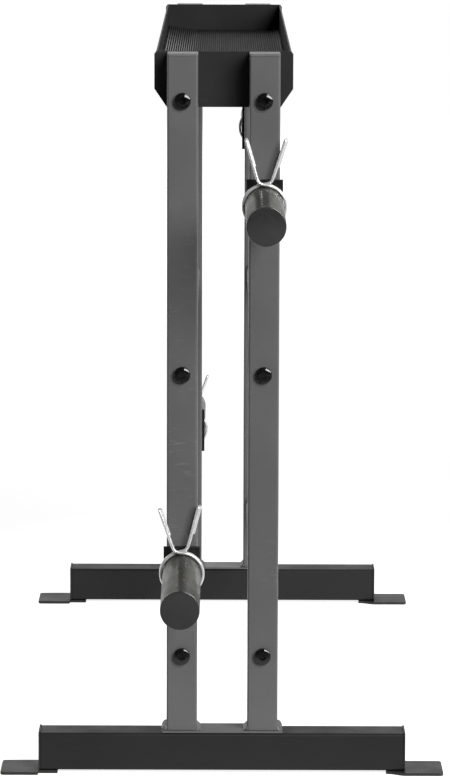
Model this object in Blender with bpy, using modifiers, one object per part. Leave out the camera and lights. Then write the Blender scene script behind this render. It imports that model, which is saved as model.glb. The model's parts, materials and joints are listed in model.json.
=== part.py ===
"""Weight storage rack: two end frames joined by a lined tray and two pairs of rails, with four plate posts.

X runs across the rack, Y along it and Z up. The origin is on the floor at the middle of the rack.
The front end frame is at -Y. Lengths are in metres.
"""

import math

import bmesh
import bpy
from mathutils import Matrix, Vector

MM = 0.001

# clearances
GAP = 0.3 * MM
THREAD_GAP = 0.3 * MM

# whole rack
FRAME_SPACING = 1140 * MM
UPRIGHT_SPACING = 106 * MM

# floor plates
PLATE_OUTREACH = 50 * MM
PLATE_TUCK = 25 * MM
PLATE_DEPTH = 70 * MM
PLATE_THICKNESS = 4 * MM
PLATE_CORNER = 5 * MM
PLATE_INNER_CORNER = 2.5 * MM
PLATE_TAPER = 22 * MM

# base tubes and their plugs
BASE_SIDE = 50 * MM
BASE_WALL = 2.5 * MM
BASE_CORNER = 4 * MM
BASE_LENGTH = 477 * MM
BASE_PLUG_FLANGE = 2.5 * MM
BASE_PLUG_LIP = 1 * MM

# uprights and their plugs
UPRIGHT_SIDE = 40 * MM
UPRIGHT_WALL = 2 * MM
UPRIGHT_CORNER = 3 * MM
UPRIGHT_LENGTH = 886 * MM
WELD_OUTER_LEG = 6 * MM
WELD_INNER_LEG = 5 * MM
WELD_INSET = 1 * MM
WELD_OUTER_HOLLOW = 1.0
WELD_INNER_HOLLOW = 2.3
UPRIGHT_PLUG_FLANGE = 3 * MM
UPRIGHT_PLUG_EDGE = 0.75 * MM
PLUG_INSERT = 12 * MM
PLUG_INSERT_CORNER = 2.5 * MM
PLUG_WALL = 2 * MM
NOTCH_WIDTH = 3 * MM
NOTCH_DEPTH = 1.2 * MM

# foot plates under the pairs of uprights
FOOT_PLATE_OVERHANG = 6.6 * MM
FOOT_PLATE_DEPTH = 48 * MM
FOOT_PLATE_THICKNESS = 2.5 * MM
FOOT_PLATE_CORNER = 2 * MM

# frame bolts
BOLT_SHANK = 12 * MM
BOLT_HEAD = 21.5 * MM
BOLT_HEAD_HEIGHT = 6.6 * MM
BOLT_SOCKET = 8 * MM
BOLT_SOCKET_DEPTH = 4 * MM
BOLT_END = 3 * MM
DOME_SPREAD = 2.3
DOME_RIM = 1.2 * MM
CROWN_SHARE = 0.72

# tray
TRAY_WIDTH = 175.5 * MM
TRAY_DEPTH = 45 * MM
TRAY_SHEET = 2 * MM
TRAY_BEND = 4 * MM
TRAY_PLATE_WIDTH = 180 * MM
TRAY_PLATE_HEIGHT = 72.5 * MM
TRAY_PLATE_SHEET = 2.5 * MM
TRAY_PLATE_RISE = 0.6 * MM
TRAY_TOP_CUT_WIDTH = 2.6 * MM
TRAY_TOP_CUT_HEIGHT = 3.6 * MM
TRAY_LOW_CUT_WIDTH = 16 * MM
TRAY_LOW_CUT_HEIGHT = 23.7 * MM
FOLD_ROUNDING = 0.9
TRAY_BOLT_RISE = 11 * MM
NUT_FLATS = 18 * MM
NUT_HEIGHT = 10 * MM

# ribbed mat
MAT_SIDE_GAP = 1.2 * MM
MAT_BASE = 3 * MM
MAT_RIB = 1.4 * MM
MAT_PITCH = 3.1 * MM
MAT_RIB_FOOT = 0.7
MAT_RIB_TOP = 0.4
MAT_LEFT_CURL = 7 * MM
MAT_LEFT_CURL_WIDTH = 46 * MM
MAT_RIGHT_CURL = 2.5 * MM
MAT_RIGHT_CURL_WIDTH = 12 * MM
MAT_CURL_POWER = 1.4

# rails
RAIL_DIAMETER = 32 * MM
RAIL_WALL = 2.5 * MM
RAIL_PLUG = 12 * MM
MID_RAIL_DROP = 356 * MM
LOW_RAIL_RISE = 103 * MM

# plate posts, brackets, caps
BRACKET_WIDTH = 48 * MM
BRACKET_HEIGHT = 67 * MM
BRACKET_THICKNESS = 6 * MM
BRACKET_EDGE = 1.5 * MM
HIGH_POST_DROP = 192 * MM
LOW_POST_RISE = 216 * MM
POST_DIAMETER = 49.8 * MM
POST_WALL = 2.6 * MM
POST_LENGTH = 250 * MM
POST_ROOT = 8 * MM
POST_BOLT_SHANK = 10 * MM
POST_BOLT_HEAD = 17.5 * MM
POST_BOLT_HEAD_HEIGHT = 5.5 * MM
POST_BOLT_SOCKET = 6 * MM
POST_BOLT_SOCKET_DEPTH = 3 * MM
CAP_DIAMETER = 49.8 * MM
CAP_FLANGE = 4 * MM
CAP_EDGE = 1.4 * MM
CAP_CROWN = 0.6 * MM
CAP_CROWN_STEPS = 2

# spring clips
CLIP_WIRE = 4.2 * MM
CLIP_OVER_CAP = 0.3 * MM
CLIP_TURNS = 2
CLIP_TURN_POINTS = 24
CLIP_PITCH = 5.2 * MM
CLIP_TOP_GAP = math.radians(12)
CLIP_ARM_LEAN = math.radians(17)
CLIP_ARM_START = 38 * MM
CLIP_ARM_TOP = 86 * MM
CLIP_ARM_FOOT = 11 * MM
CLIP_HOOK_SPREAD = 5.6 * MM
CLIP_HOOK_LENGTH = 34 * MM
CLIP_LEFT_HOOK_TURN = math.radians(103)
CLIP_RIGHT_HOOK_TURN = math.radians(66)
CLIP_TO_BRACKET = 0.5 * MM
LOW_CLIP_TURN = math.radians(-2.6)
HIGH_CLIP_TURN = math.radians(0.8)

# outline smoothness
CORNER_STEPS = 3
BEND_STEPS = 5
ROUND_STEPS = 24
RAIL_STEPS = 20
BOLT_STEPS = 16
DOME_STEPS = 2
RIM_STEPS = 2
HOLE_STEPS = 12

# heights and places worked out from the sizes above
BASE_BOTTOM = PLATE_THICKNESS + GAP
BASE_MIDDLE = BASE_BOTTOM + BASE_SIDE / 2
BASE_TOP = BASE_BOTTOM + BASE_SIDE
UPRIGHT_BOTTOM = BASE_TOP + GAP + FOOT_PLATE_THICKNESS + GAP
UPRIGHT_TOP = UPRIGHT_BOTTOM + UPRIGHT_LENGTH
RACK_TOP = UPRIGHT_TOP + GAP + UPRIGHT_PLUG_FLANGE
TRAY_PLATE_TOP = RACK_TOP + TRAY_PLATE_RISE
TRAY_PLATE_BOTTOM = TRAY_PLATE_TOP - TRAY_PLATE_HEIGHT
TRAY_WALL_TOP = TRAY_PLATE_TOP - TRAY_PLATE_RISE
TRAY_BOLT_HEIGHT = TRAY_PLATE_BOTTOM + TRAY_BOLT_RISE
MID_RAIL_HEIGHT = TRAY_BOLT_HEIGHT - MID_RAIL_DROP
LOW_RAIL_HEIGHT = BASE_TOP + LOW_RAIL_RISE
HIGH_POST_HEIGHT = UPRIGHT_TOP - HIGH_POST_DROP
LOW_POST_HEIGHT = BASE_TOP + LOW_POST_RISE
BOLT_HOLE = BOLT_SHANK + 2 * THREAD_GAP
POST_BOLT_HOLE = POST_BOLT_SHANK + 2 * THREAD_GAP
OUTER_FACE = FRAME_SPACING / 2 + UPRIGHT_SIDE / 2
INNER_FACE = FRAME_SPACING / 2 - UPRIGHT_SIDE / 2

ENDS = (("front", -1), ("rear", 1))
SIDES = (("left", -1), ("right", 1))

# colours and finishes of each kind of piece: linear RGB, roughness, metallic
FINISHES = {
    "upright": ((0.130, 0.130, 0.132), 0.50, 0.0),
    "upright_plug": ((0.240, 0.240, 0.235), 0.45, 0.0),
    "base_tube": ((0.028, 0.028, 0.029), 0.42, 0.0),
    "base_plug": ((0.022, 0.022, 0.022), 0.45, 0.0),
    "floor_plate": ((0.090, 0.090, 0.085), 0.40, 0.0),
    "bracket": ((0.012, 0.012, 0.012), 0.25, 0.0),
    "post": ((0.300, 0.290, 0.275), 0.28, 1.0),
    "post_cap": ((0.040, 0.040, 0.040), 0.45, 0.0),
    "clip": ((0.800, 0.800, 0.800), 0.08, 1.0),
    "bolt": ((0.010, 0.010, 0.010), 0.15, 0.0),
    "tray": ((0.026, 0.026, 0.027), 0.45, 0.0),
    "mat": ((0.040, 0.040, 0.040), 0.80, 0.0),
    "rail": ((0.024, 0.024, 0.025), 0.42, 0.0),
}


def empty_scene():
    """Removes whatever the file opened with."""
    for obj in list(bpy.data.objects):
        bpy.data.objects.remove(obj, do_unlink=True)


def collection(name):
    """A new collection linked to the scene."""
    made = bpy.data.collections.new(name)
    bpy.context.scene.collection.children.link(made)
    return made


def finish(name):
    """The Principled material of one finish, made once."""
    if name in bpy.data.materials:
        return bpy.data.materials[name]
    colour, roughness, metallic = FINISHES[name]
    material = bpy.data.materials.new(name)
    material.use_nodes = True
    shader = material.node_tree.nodes["Principled BSDF"]
    shader.inputs["Base Color"].default_value = (*colour, 1.0)
    shader.inputs["Roughness"].default_value = roughness
    shader.inputs["Metallic"].default_value = metallic
    material.diffuse_color = (*colour, 1.0)
    return material


# workshop: shapes are made here and then baked to plain meshes

def bench_object(name, data):
    """An object on the bench, where cutters and blanks are kept until they are baked."""
    obj = bpy.data.objects.new(name, data)
    bench.objects.link(obj)
    obj.hide_render = True
    obj.display_type = "WIRE"
    return obj


def bake(obj, *helpers):
    """The evaluated mesh of a bench object; the object and its helpers are then removed."""
    bpy.context.view_layer.update()
    graph = bpy.context.evaluated_depsgraph_get()
    mesh = bpy.data.meshes.new_from_object(obj.evaluated_get(graph))
    mesh.transform(obj.matrix_world)
    shape = bmesh.new()
    shape.from_mesh(mesh)
    bmesh.ops.remove_doubles(shape, verts=shape.verts, dist=0.002 * MM)
    shape.to_mesh(mesh)
    shape.free()
    for used in (obj, *helpers):
        bpy.data.objects.remove(used, do_unlink=True)
    return mesh


def box(name, size, centre=(0, 0, 0)):
    """A box on the bench, from its full size and centre."""
    shape = bmesh.new()
    bmesh.ops.create_cube(shape, size=1.0)
    bmesh.ops.scale(shape, vec=size, verts=shape.verts)
    bmesh.ops.translate(shape, vec=centre, verts=shape.verts)
    mesh = bpy.data.meshes.new(name)
    shape.to_mesh(mesh)
    shape.free()
    return bench_object(name, mesh)


def cylinder_y(name, diameter, length, centre=(0, 0, 0), steps=BOLT_STEPS, turn=0.0):
    """A cylinder, or a prism of few steps, along Y."""
    shape = bmesh.new()
    bmesh.ops.create_cone(
        shape, cap_ends=True, segments=steps, radius1=diameter / 2, radius2=diameter / 2, depth=length
    )
    spin = Matrix.Rotation(math.radians(90), 4, "X") @ Matrix.Rotation(turn, 4, "Z")
    bmesh.ops.transform(shape, matrix=Matrix.Translation(centre) @ spin, verts=shape.verts)
    mesh = bpy.data.meshes.new(name)
    shape.to_mesh(mesh)
    shape.free()
    return bench_object(name, mesh)


def across_corners(flats):
    """The diameter over the corners of a hexagon of the given width over its flats."""
    return flats / math.cos(math.radians(30))


def rounded_rectangle(width, height, radius, centre=(0, 0)):
    """Outline of a rectangle with round corners, anticlockwise."""
    points = []
    for corner in range(4):
        sign_x = 1 if corner in (0, 3) else -1
        sign_y = 1 if corner in (0, 1) else -1
        middle_x = centre[0] + sign_x * (width / 2 - radius)
        middle_y = centre[1] + sign_y * (height / 2 - radius)
        for step in range(CORNER_STEPS + 1):
            angle = math.radians(90) * (corner + step / CORNER_STEPS)
            points.append((middle_x + radius * math.cos(angle), middle_y + radius * math.sin(angle)))
    return points


def extruded(name, outlines, length, spin):
    """A flat outline, with any holes, thickened to length along its own Z and then turned by spin."""
    curve = bpy.data.curves.new(name, "CURVE")
    curve.dimensions = "2D"
    curve.fill_mode = "BOTH"
    curve.extrude = length / 2
    for outline in outlines:
        spline = curve.splines.new("POLY")
        spline.points.add(len(outline) - 1)
        for point, (x, y) in zip(spline.points, outline):
            point.co = (x, y, 0, 1)
        spline.use_cyclic_u = True
    obj = bench_object(name, curve)
    obj.matrix_world = spin
    return bench_object(name, bake(obj))


UP = Matrix.Identity(4)
ALONG_X = Matrix.Rotation(math.radians(90), 4, "Z") @ Matrix.Rotation(math.radians(90), 4, "X")
ALONG_Y = Matrix.Rotation(math.radians(90), 4, "X")


def turned_y(name, profile, steps):
    """A turned shape about Y. The profile is (radius, y) from the -Y end to the +Y end, along its outside."""
    mesh = bpy.data.meshes.new(name)
    shape = bmesh.new()
    closed = profile[0][0] > 0
    knots = [shape.verts.new((radius, 0, -y)) for radius, y in profile]
    pairs = list(zip(knots, knots[1:]))
    if closed:
        pairs.append((knots[-1], knots[0]))
    for pair in pairs:
        shape.edges.new(pair)
    shape.to_mesh(mesh)
    shape.free()
    obj = bench_object(name, mesh)
    screw = obj.modifiers.new("turn", "SCREW")
    screw.steps = steps
    screw.render_steps = steps
    screw.use_merge_vertices = True
    screw.merge_threshold = 0.01 * MM
    obj.matrix_world = ALONG_Y
    return bench_object(name, bake(obj))


def joined(blank, *others):
    """The blank with the other bench shapes fused to it."""
    return combined(blank, others, "UNION")


def cut(blank, *others):
    """The blank with the other bench shapes cut out of it."""
    return combined(blank, others, "DIFFERENCE")


def combined(blank, others, operation):
    for other in others:
        modifier = blank.modifiers.new(operation.lower(), "BOOLEAN")
        modifier.operation = operation
        modifier.solver = "EXACT"
        modifier.object = other
    name = blank.name
    return bench_object(name, bake(blank, *others))


def bevelled(blank, width, steps, chosen):
    """The blank with the edges that chosen picks rounded over."""
    shape = bmesh.new()
    shape.from_mesh(blank.data)
    picked = [edge for edge in shape.edges if chosen(edge)]
    bmesh.ops.bevel(
        shape, geom=picked, offset=width, offset_type="OFFSET", segments=steps, profile=0.5, affect="EDGES"
    )
    shape.to_mesh(blank.data)
    shape.free()
    return blank


def runs_along(edge, axis):
    """Whether an edge lies along X, Y or Z (0, 1 or 2)."""
    way = (edge.verts[1].co - edge.verts[0].co).normalized()
    return abs(way[axis]) > 0.99


def edge_middle(edge):
    return (edge.verts[0].co + edge.verts[1].co) / 2


def place(name, mesh, finish_name, location, turn=0.0, tilt=0.0, smooth_angle=35):
    """One piece of the rack: a shared mesh at its own place, tilted about its own Y and turned about Z."""
    mesh.shade_smooth()
    mesh.set_sharp_from_angle(angle=math.radians(smooth_angle))
    if not mesh.materials:
        mesh.materials.append(finish(finish_name))
    obj = bpy.data.objects.new(name, mesh)
    rack.objects.link(obj)
    obj.location = location
    obj.rotation_euler = (0, tilt, turn)
    return obj


# the pieces

def corner_arc(middle_x, middle_y, radius, start):
    """Points of a quarter turn, anticlockwise from the start angle in degrees."""
    points = []
    for step in range(CORNER_STEPS + 1):
        angle = math.radians(start + 90 * step / CORNER_STEPS)
        points.append((middle_x + radius * math.cos(angle), middle_y + radius * math.sin(angle)))
    return points


def floor_plate_mesh():
    """A flat plate that reaches out along +X from the end of a base tube at x=0 and is tucked under it.

    Its outer part is wider than the tube. On the -Y side it narrows to the tube along a soft curve,
    and on the +Y side it steps in at the tube's end.
    """
    half = PLATE_DEPTH / 2
    tube = BASE_SIDE / 2
    outline = corner_arc(PLATE_OUTREACH - PLATE_CORNER, half - PLATE_CORNER, PLATE_CORNER, 0)
    outline += corner_arc(GAP + PLATE_INNER_CORNER, half - PLATE_INNER_CORNER, PLATE_INNER_CORNER, 90)
    outline += [(GAP, tube), (-PLATE_TUCK, tube), (-PLATE_TUCK, -tube)]
    taper_steps = 2 * CORNER_STEPS
    for step in range(taper_steps + 1):
        share = step / taper_steps
        ease = share * share * (3 - 2 * share)
        outline.append((-PLATE_TAPER * (1 - share), -tube - (half - tube) * ease))
    outline += corner_arc(PLATE_OUTREACH - PLATE_CORNER, -half + PLATE_CORNER, PLATE_CORNER, 270)
    return bake(extruded("floor_plate", [outline], PLATE_THICKNESS, UP))


def foot_plate_mesh():
    """Plate under both uprights of a frame, with its middle at the origin."""
    length = UPRIGHT_SPACING + UPRIGHT_SIDE + 2 * FOOT_PLATE_OVERHANG
    outline = rounded_rectangle(length, FOOT_PLATE_DEPTH, FOOT_PLATE_CORNER)
    return bake(extruded("foot_plate", [outline], FOOT_PLATE_THICKNESS, UP))


def base_tube_mesh():
    """Square tube along X, open at both ends."""
    inner = BASE_SIDE - 2 * BASE_WALL
    outer_outline = rounded_rectangle(BASE_SIDE, BASE_SIDE, BASE_CORNER)
    inner_outline = rounded_rectangle(inner, inner, BASE_CORNER - BASE_WALL)
    return bake(extruded("base_tube", [outer_outline, inner_outline], BASE_LENGTH, ALONG_X))


def square_plug(name, flange_width, flange_height, flange, corner, insert_side, flange_shift):
    """A push-in plug along +Z: flange above z=0, hollow insert below it."""
    outline = rounded_rectangle(flange_width, flange_height, corner, (0, flange_shift))
    top = extruded(name, [outline], flange, Matrix.Translation((0, 0, flange / 2)))
    insert_outline = rounded_rectangle(insert_side, insert_side, PLUG_INSERT_CORNER)
    depth = PLUG_INSERT + flange / 2
    insert = extruded("insert", [insert_outline], depth, Matrix.Translation((0, 0, flange / 2 - depth / 2)))
    hollow_side = insert_side - 2 * PLUG_WALL
    hollow = box("hollow", (hollow_side, hollow_side, PLUG_INSERT))
    hollow.location.z = -PLUG_INSERT / 2 - PLUG_WALL / 2
    return cut(joined(top, insert), hollow)


def base_plug_mesh():
    """Plug of a base tube with its flange facing +X; its lip stands proud on top and at the sides."""
    width = BASE_SIDE + 2 * BASE_PLUG_LIP
    height = BASE_SIDE + BASE_PLUG_LIP
    insert = BASE_SIDE - 2 * BASE_WALL - 2 * GAP
    plug = square_plug("base_plug", width, height, BASE_PLUG_FLANGE, BASE_CORNER, insert, BASE_PLUG_LIP / 2)
    plug.matrix_world = ALONG_X
    return bake(plug)


def weld_outline(side, leg, hollow):
    """Outline of the weld bead at one side of an upright, from its toe up to the tube."""
    points = []
    steps = CORNER_STEPS + 1
    for step in range(steps + 1):
        angle = math.radians(90) * step / steps
        out = leg * max(math.cos(angle), 0) ** hollow
        points.append((side * (UPRIGHT_SIDE / 2 + out), leg * math.sin(angle) ** hollow))
    return points


def upright_mesh(outer_side, post_bolt_height):
    """Square tube from z=0 up, with weld beads at both sides of its foot and cross holes for its bolts."""
    outline = rounded_rectangle(UPRIGHT_SIDE, UPRIGHT_SIDE, UPRIGHT_CORNER)
    middle = Matrix.Translation((0, 0, UPRIGHT_LENGTH / 2))
    tube = extruded("upright", [outline], UPRIGHT_LENGTH, middle)
    outer_bead = weld_outline(outer_side, WELD_OUTER_LEG, WELD_OUTER_HOLLOW)
    inner_bead = weld_outline(-outer_side, WELD_INNER_LEG, WELD_INNER_HOLLOW)
    foot = extruded("foot", [outer_bead + inner_bead[::-1]], UPRIGHT_SIDE - 2 * WELD_INSET, ALONG_Y)
    inner = UPRIGHT_SIDE - 2 * UPRIGHT_WALL
    bore_outline = rounded_rectangle(inner, inner, UPRIGHT_CORNER - UPRIGHT_WALL)
    bore = extruded("bore", [bore_outline], UPRIGHT_LENGTH + 2 * UPRIGHT_SIDE, middle)
    holes = []
    for height in (TRAY_BOLT_HEIGHT, MID_RAIL_HEIGHT, LOW_RAIL_HEIGHT):
        place_z = height - UPRIGHT_BOTTOM
        holes.append(cylinder_y("hole", BOLT_HOLE, 2 * UPRIGHT_SIDE, (0, 0, place_z), steps=HOLE_STEPS))
    place_z = post_bolt_height - UPRIGHT_BOTTOM
    holes.append(cylinder_y("hole", POST_BOLT_HOLE, 2 * UPRIGHT_SIDE, (0, 0, place_z), steps=HOLE_STEPS))
    return bake(cut(joined(tube, foot), bore, *holes))


def upright_plug_mesh():
    """Plug of an upright, with a pry notch in the edge that faces outward (-Y)."""
    insert = UPRIGHT_SIDE - 2 * UPRIGHT_WALL - 2 * GAP
    side = UPRIGHT_SIDE
    plug = square_plug("upright_plug", side, side, UPRIGHT_PLUG_FLANGE, UPRIGHT_CORNER, insert, 0)
    plug = bevelled(
        plug, UPRIGHT_PLUG_EDGE, 1,
        lambda e: edge_middle(e).z > UPRIGHT_PLUG_FLANGE / 2 and e.calc_face_angle(0) > math.radians(60)
        and not runs_along(e, 2)
    )
    notch = box("notch", (NOTCH_WIDTH, 2 * NOTCH_DEPTH, UPRIGHT_PLUG_FLANGE))
    notch.location = (0, -UPRIGHT_SIDE / 2, UPRIGHT_PLUG_FLANGE)
    return bake(cut(plug, notch))


def button_bolt_mesh(head, head_height, socket, socket_depth, shank, length):
    """Button-head bolt along +Y: the underside of its head is at y=0 and its dome faces -Y.

    The dome is part of a ball; a small round rim joins it to the upright side of the head.
    """
    ball = DOME_SPREAD * head / 2
    crown_angle = math.asin(socket * CROWN_SHARE / ball)
    rim_radius = head / 2 - DOME_RIM
    rim_angle = math.asin(rim_radius / (ball - DOME_RIM))
    ball_y = -head_height + ball * math.cos(crown_angle)
    rim_y = ball_y - (ball - DOME_RIM) * math.cos(rim_angle)
    dome = []
    for step in range(DOME_STEPS):
        angle = crown_angle + (rim_angle - crown_angle) * step / DOME_STEPS
        dome.append((ball * math.sin(angle), ball_y - ball * math.cos(angle)))
    for step in range(RIM_STEPS + 1):
        angle = rim_angle + (math.radians(90) - rim_angle) * step / RIM_STEPS
        dome.append((rim_radius + DOME_RIM * math.sin(angle), rim_y - DOME_RIM * math.cos(angle)))
    profile = [(0, -head_height), *dome, (head / 2, 0), (shank / 2, 0), (shank / 2, length), (0, length)]
    blank = turned_y("bolt", profile, BOLT_STEPS)
    key = cylinder_y("key", across_corners(socket), 2 * socket_depth, (0, -head_height, 0), steps=6)
    return bake(cut(blank, key))


def tray_channel_mesh(length):
    """Folded channel along Y: floor and two walls, its top edges at z=0."""
    half = TRAY_WIDTH / 2
    outline = [(half, 0)]
    for side in (1, -1):
        corner = []
        for step in range(CORNER_STEPS + 1):
            angle = math.radians(90) * step / CORNER_STEPS
            x = half - TRAY_BEND + TRAY_BEND * math.cos(angle)
            z = -TRAY_DEPTH + TRAY_BEND - TRAY_BEND * math.sin(angle)
            corner.append((side * x, z))
        outline.extend(corner if side == 1 else corner[::-1])
    outline.append((-half, 0))
    inner_half = half - TRAY_SHEET
    inner_bend = TRAY_BEND - TRAY_SHEET
    outline.append((-inner_half, 0))
    for side in (-1, 1):
        corner = []
        for step in range(CORNER_STEPS + 1):
            angle = math.radians(90) * step / CORNER_STEPS
            x = inner_half - inner_bend + inner_bend * math.cos(angle)
            z = -TRAY_DEPTH + TRAY_BEND - inner_bend * math.sin(angle)
            corner.append((side * x, z))
        outline.extend(corner if side == -1 else corner[::-1])
    outline.append((inner_half, 0))
    return bake(extruded("tray_channel", [outline], length, ALONG_Y))


def tray_end_mesh():
    """End plate of the tray at the front: outer face at y=0, top at z=0, weld nuts on its +Y side."""
    half = TRAY_PLATE_WIDTH / 2
    outline = [
        (half - TRAY_TOP_CUT_WIDTH, 0),
        (-half + TRAY_TOP_CUT_WIDTH, 0),
        (-half, -TRAY_TOP_CUT_HEIGHT),
        (-half, -TRAY_PLATE_HEIGHT + TRAY_LOW_CUT_HEIGHT),
        (-half + TRAY_LOW_CUT_WIDTH, -TRAY_PLATE_HEIGHT),
        (half - TRAY_LOW_CUT_WIDTH, -TRAY_PLATE_HEIGHT),
        (half, -TRAY_PLATE_HEIGHT + TRAY_LOW_CUT_HEIGHT),
        (half, -TRAY_TOP_CUT_HEIGHT),
    ]
    spin = Matrix.Translation((0, TRAY_PLATE_SHEET / 2, 0)) @ ALONG_Y
    plate = extruded("tray_end", [outline], TRAY_PLATE_SHEET, spin)
    fold = TRAY_PLATE_SHEET * FOLD_ROUNDING
    plate = bevelled(
        plate, fold, CORNER_STEPS,
        lambda e: runs_along(e, 0) and edge_middle(e).z > -GAP and edge_middle(e).y < TRAY_PLATE_SHEET / 2
    )
    bolt_z = TRAY_BOLT_HEIGHT - TRAY_PLATE_TOP
    nuts = []
    holes = []
    for side in (-1, 1):
        x = side * UPRIGHT_SPACING / 2
        nut_y = TRAY_PLATE_SHEET / 2 + NUT_HEIGHT / 2
        nut_length = TRAY_PLATE_SHEET + NUT_HEIGHT
        corners = across_corners(NUT_FLATS)
        nuts.append(cylinder_y("nut", corners, nut_length - TRAY_PLATE_SHEET / 2,
                               (x, nut_y + TRAY_PLATE_SHEET / 4, bolt_z), steps=6))
        holes.append(cylinder_y("hole", BOLT_HOLE, 4 * nut_length, (x, 0, bolt_z), steps=HOLE_STEPS))
    return bake(cut(joined(plate, *nuts), *holes))


def mat_lift(x, half):
    """How far the mat has curled up at x, near its left and right edges."""
    if x < 0:
        return MAT_LEFT_CURL * max(0, 1 - (half + x) / MAT_LEFT_CURL_WIDTH) ** MAT_CURL_POWER
    return MAT_RIGHT_CURL * max(0, 1 - (half - x) / MAT_RIGHT_CURL_WIDTH) ** MAT_CURL_POWER


def mat_mesh(length):
    """Ribbed mat along Y, flat on z=0 in the middle and curled up along both edges."""
    width = TRAY_WIDTH - 2 * TRAY_SHEET - 2 * MAT_SIDE_GAP
    ribs = int(width / MAT_PITCH)
    first = (ribs - 1) * MAT_PITCH / 2
    foot = MAT_PITCH * MAT_RIB_FOOT / 2
    top = MAT_PITCH * MAT_RIB_TOP / 2
    outline = [(-width / 2, 0)]
    for rib in range(ribs):
        middle = rib * MAT_PITCH - first
        if mat_lift(middle - MAT_PITCH, width / 2) or mat_lift(middle + MAT_PITCH, width / 2):
            outline.append((middle, 0))
    outline += [(width / 2, 0), (width / 2, MAT_BASE)]
    for rib in range(ribs):
        middle = first - rib * MAT_PITCH
        outline.append((middle + foot, MAT_BASE))
        outline.append((middle + top, MAT_BASE + MAT_RIB))
        outline.append((middle - top, MAT_BASE + MAT_RIB))
        outline.append((middle - foot, MAT_BASE))
    outline.append((-width / 2, MAT_BASE))
    lifted = [(x, z + mat_lift(x, width / 2)) for x, z in outline]
    return bake(extruded("mat", [lifted], length, ALONG_Y))


def rail_mesh(length):
    """Round tube along Y, its ends closed by thick plugs with a threaded bore."""
    outer = RAIL_DIAMETER / 2
    inner = outer - RAIL_WALL
    bore = BOLT_HOLE / 2
    half = length / 2
    profile = [
        (bore, -half), (outer, -half), (outer, half), (bore, half),
        (bore, half - RAIL_PLUG), (inner, half - RAIL_PLUG),
        (inner, -half + RAIL_PLUG), (bore, -half + RAIL_PLUG),
    ]
    return bake(turned_y("rail", profile, RAIL_STEPS))


def bracket_mesh():
    """Bracket plate of a post: outer face on -Y, its middle at the origin, front edges rounded."""
    plate = box("bracket", (BRACKET_WIDTH, BRACKET_THICKNESS, BRACKET_HEIGHT))
    plate = bevelled(
        plate, BRACKET_EDGE, 2, lambda e: not runs_along(e, 1) and edge_middle(e).y < -BRACKET_THICKNESS / 4
    )
    hole = cylinder_y("hole", POST_BOLT_HOLE, 4 * BRACKET_THICKNESS, steps=HOLE_STEPS)
    return bake(cut(plate, hole))


def post_mesh():
    """Plate post that points to -Y from its root at y=0; the root is thick and threaded, the tip is open."""
    outer = POST_DIAMETER / 2
    inner = outer - POST_WALL
    bore = POST_BOLT_HOLE / 2
    profile = [
        (inner, -POST_LENGTH), (outer, -POST_LENGTH), (outer, 0), (bore, 0),
        (bore, -POST_ROOT), (inner, -POST_ROOT),
    ]
    return bake(turned_y("post", profile, ROUND_STEPS))


def post_cap_mesh():
    """Cap of a post: on -Y of y=0 the flange, slightly domed with a rounded rim, and on +Y the insert."""
    outer = CAP_DIAMETER / 2
    insert = POST_DIAMETER / 2 - POST_WALL - GAP
    profile = []
    for step in range(CAP_CROWN_STEPS):
        share = step / CAP_CROWN_STEPS
        profile.append(((outer - CAP_EDGE) * share, -CAP_FLANGE - CAP_CROWN * (1 - share ** 2)))
    for step in range(CORNER_STEPS + 1):
        angle = math.radians(90) * step / CORNER_STEPS
        radius = outer - CAP_EDGE + CAP_EDGE * math.sin(angle)
        profile.append((radius, -CAP_FLANGE + CAP_EDGE * (1 - math.cos(angle))))
    profile += [
        (outer, 0), (insert, 0), (insert, PLUG_INSERT), (insert - PLUG_WALL, PLUG_INSERT),
        (insert - PLUG_WALL, 0), (0, 0),
    ]
    return bake(turned_y("post_cap", profile, ROUND_STEPS))


# spring clip

def clip_coil_radius():
    """Radius of the wire's middle line, so that the faceted coil still slides off over the cap."""
    clear = CAP_DIAMETER / 2 + CLIP_OVER_CAP + CLIP_WIRE / 2
    return clear / math.cos(math.pi / CLIP_TURN_POINTS)


def bend_between(start, start_way, end, end_way, reach):
    """Points between two places, leaving and arriving along given ways, without the two end points."""
    points = []
    first = start + start_way * reach
    last = end - end_way * reach
    for step in range(1, BEND_STEPS):
        t = step / BEND_STEPS
        points.append(
            start * (1 - t) ** 3 + first * 3 * t * (1 - t) ** 2 + last * 3 * t ** 2 * (1 - t) + end * t ** 3
        )
    return points


def clip_arm(side, depth, hook_turn):
    """Middle line of one handle, from its foot up to the tip, round the hook and down again.

    The hook turn swings the returning wire from beside the handle towards behind it.
    """
    up = Vector((side * math.sin(CLIP_ARM_LEAN), 0, math.cos(CLIP_ARM_LEAN)))
    out = Vector((side * math.cos(CLIP_ARM_LEAN), 0, -math.sin(CLIP_ARM_LEAN)))
    back = Vector((0, 1, 0))
    across = out * math.cos(hook_turn) + back * math.sin(hook_turn)
    foot = Vector((side * CLIP_ARM_FOOT, depth, CLIP_ARM_START))
    bend = CLIP_HOOK_SPREAD / 2
    run = (CLIP_ARM_TOP - CLIP_ARM_START) / math.cos(CLIP_ARM_LEAN) - bend
    crown = foot + up * run
    points = [foot, (foot + crown) / 2, crown]
    for step in range(1, BEND_STEPS):
        angle = math.radians(180) * step / BEND_STEPS
        points.append(crown + across * bend * (1 - math.cos(angle)) + up * bend * math.sin(angle))
    points.append(crown + across * CLIP_HOOK_SPREAD)
    points.append(crown + across * CLIP_HOOK_SPREAD - up * CLIP_HOOK_LENGTH)
    return points, up


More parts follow.
